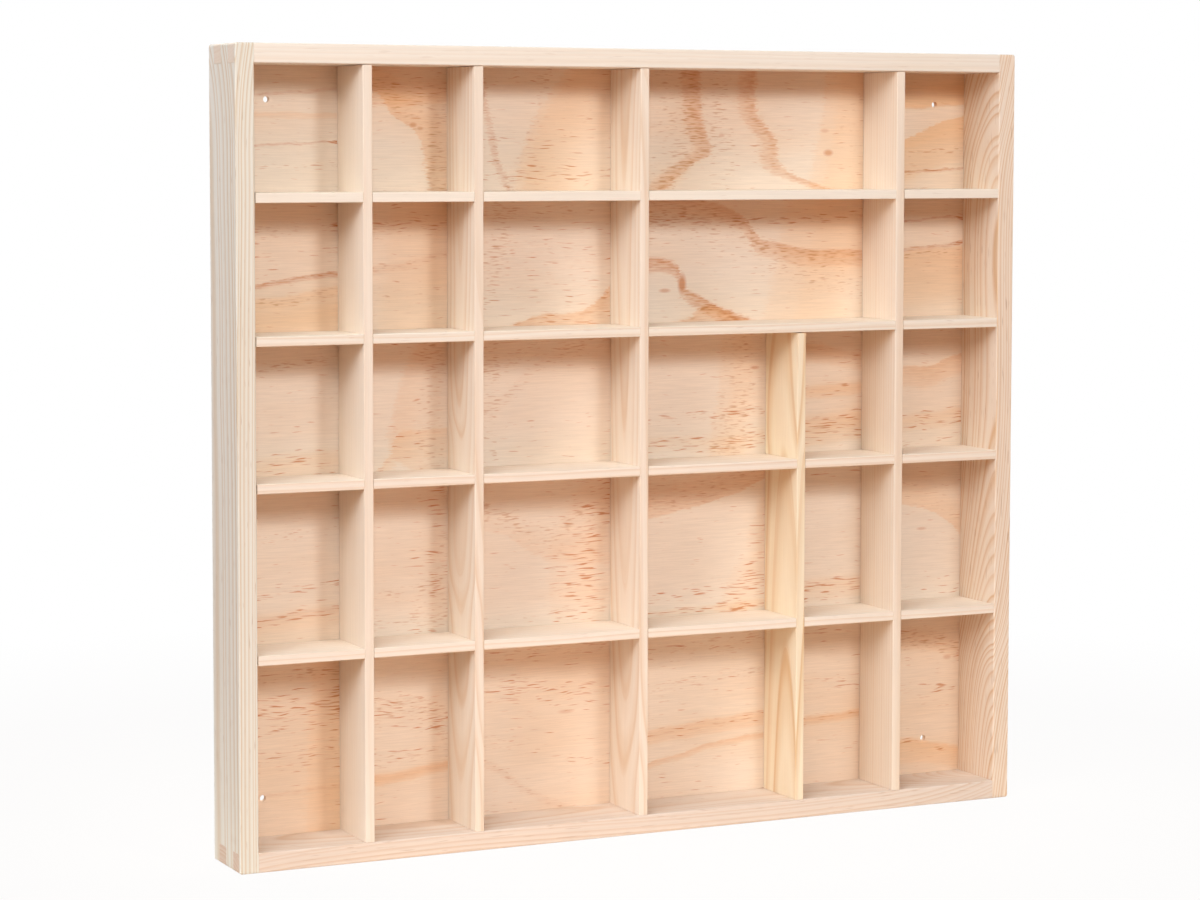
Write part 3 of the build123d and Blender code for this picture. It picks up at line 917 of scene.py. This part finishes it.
# How much of the paper looks plain white by the tray, and between which distances from the middle
# the rest of it turns white too, in metres
WHITE_SHARE = 0.94
SHADE_FROM, SHADE_TO = 0.22, 0.7


def shown(tree):
    """How much of a ray sees the studio as a picture: camera, mirror and see-through rays do."""
    path = add_node(tree, "LightPath").outputs
    seen = add_node(
        tree, "Math", {"operation": "MAXIMUM"}, {0: path["Is Camera Ray"], 1: path["Is Glossy Ray"]}
    )
    return add_node(tree, "Math", {"operation": "MAXIMUM"}, {0: seen, 1: path["Is Transmission Ray"]})


def paper():
    """Matt studio paper. Seen directly it is white, with the tray's shadow left faintly on it near the
    tray. The light that it throws back is pale from close by and brown from further off, which gives
    the compartments their warm shadows."""
    material, tree = new_material("matt_white_paper")
    place = add_node(tree, "TexCoord")
    away = add_node(tree, "VectorMath", {"operation": "LENGTH"}, {0: place.outputs["Object"]})
    share = add_node(tree, "MapRange", {1: SHADE_FROM, 2: SHADE_TO, 3: WHITE_SHARE, 4: 1.0}, {0: away})
    share = add_node(tree, "Math", {"operation": "MULTIPLY"}, {0: share, 1: shown(tree)})
    far = add_node(tree, "MapRange", {1: CHANGE_FROM, 2: CHANGE_TO}, {0: away})
    colour = add_node(tree, "Mix", {**MIX, 6: NEAR_PAPER, 7: FAR_PAPER}, {0: far})
    matt = add_node(tree, "BsdfDiffuse", {}, {"Color": colour})
    white = add_node(tree, "Emission", {"Color": WHITE, "Strength": 1.0})
    mix = add_node(tree, "MixShader", {}, {0: share, 1: matt, 2: white})
    add_node(tree, "OutputMaterial", {}, {"Surface": mix})
    return material


class TRAY_OT_studio(Operator):
    """Lays the floor, hangs the lamps and sets up the camera"""

    bl_idname = "tray.studio"
    bl_label = "Set up the studio"

    def execute(self, context):
        studio = context.scene.tray_studio
        scene = context.scene
        scene.view_settings.view_transform = "Standard"
        world = bpy.data.worlds.new("studio")
        scene.world = world
        world.use_nodes = True
        tree = world.node_tree
        tree.nodes.clear()
        seen = shown(tree)
        fill = add_node(tree, "Background", {"Color": WARM_FILL, "Strength": studio.fill})
        white = add_node(tree, "Background", {"Color": WHITE, "Strength": 1.0})
        mix = add_node(tree, "MixShader", {}, {0: seen, 1: fill, 2: white})
        add_node(tree, "OutputWorld", {}, {"Surface": mix})

        bpy.ops.object.select_all(action="DESELECT")
        bpy.ops.mesh.primitive_plane_add(size=studio.floor_size, location=(0, 0, 0))
        floor = context.object
        floor.name = "studio_floor"
        floor.data.materials.append(paper())

        for name, turn, rise, away, size, share, colour in LAMPS:
            lamp = bpy.data.lights.new(name, "AREA")
            lamp.shape = "DISK"
            lamp.size = size
            lamp.color = srgb(colour)[:3]
            # A disk of this power lights a surface that faces it with the share asked for
            lamp.energy = share * studio.light * (math.pi * away) ** 2
            turn, rise = math.radians(turn), math.radians(rise)
            level = math.cos(rise)
            way = Vector((math.sin(turn) * level, -math.cos(turn) * level, math.sin(rise)))
            stand = bpy.data.objects.new(name, lamp)
            stand.visible_camera = False
            stand.location = LAMP_AIM + away * way
            stand.rotation_euler = way.to_track_quat("Z", "Y").to_euler()
            scene.collection.objects.link(stand)

        lens = bpy.data.cameras.new("camera")
        lens.lens = studio.camera_lens
        lens.shift_y = studio.camera_shift
        lens.clip_start = 0.01
        lens.clip_end = 50
        camera = bpy.data.objects.new("camera", lens)
        camera.location = studio.camera_place
        turn = Euler((math.pi / 2 - studio.camera_tilt, 0, -studio.camera_turn))
        roll = Euler((0, 0, studio.camera_roll))
        camera.rotation_euler = (turn.to_matrix() @ roll.to_matrix()).to_euler()
        scene.collection.objects.link(camera)
        scene.camera = camera
        return {"FINISHED"}


class TRAY_PT_sidebar(Panel):
    """Lists the steps and what can be changed before them"""

    bl_idname = "TRAY_PT_sidebar"
    bl_label = "Letterpress tray shelf"
    bl_space_type = "VIEW_3D"
    bl_region_type = "UI"
    bl_category = "Tray shelf"

    def draw(self, context):
        scene = context.scene
        groups = (
            (scene.tray_wood, ("tray.boards", "tray.slats")),
            (scene.tray_veneer, ("tray.panel",)),
            (scene.tray_studio, ("tray.studio",)),
        )
        for group, steps in groups:
            box = self.layout.box()
            for key in group.__annotations__:
                box.prop(group, key)
            for step in steps:
                box.operator(step)


CLASSES = (
    TRAY_PG_wood,
    TRAY_PG_veneer,
    TRAY_PG_studio,
    TRAY_OT_boards,
    TRAY_OT_slats,
    TRAY_OT_panel,
    TRAY_OT_studio,
    TRAY_PT_sidebar,
)


def register():
    for cls in CLASSES:
        bpy.utils.register_class(cls)
    bpy.types.Scene.tray_wood = PointerProperty(type=TRAY_PG_wood)
    bpy.types.Scene.tray_veneer = PointerProperty(type=TRAY_PG_veneer)
    bpy.types.Scene.tray_studio = PointerProperty(type=TRAY_PG_studio)


def unregister():
    del bpy.types.Scene.tray_wood
    del bpy.types.Scene.tray_veneer
    del bpy.types.Scene.tray_studio
    for cls in reversed(CLASSES):
        bpy.utils.unregister_class(cls)


def main():
    register()
    bpy.ops.tray.boards()
    bpy.ops.tray.slats()
    bpy.ops.tray.panel()
    bpy.ops.tray.studio()


if __name__ == "__main__":
    main()
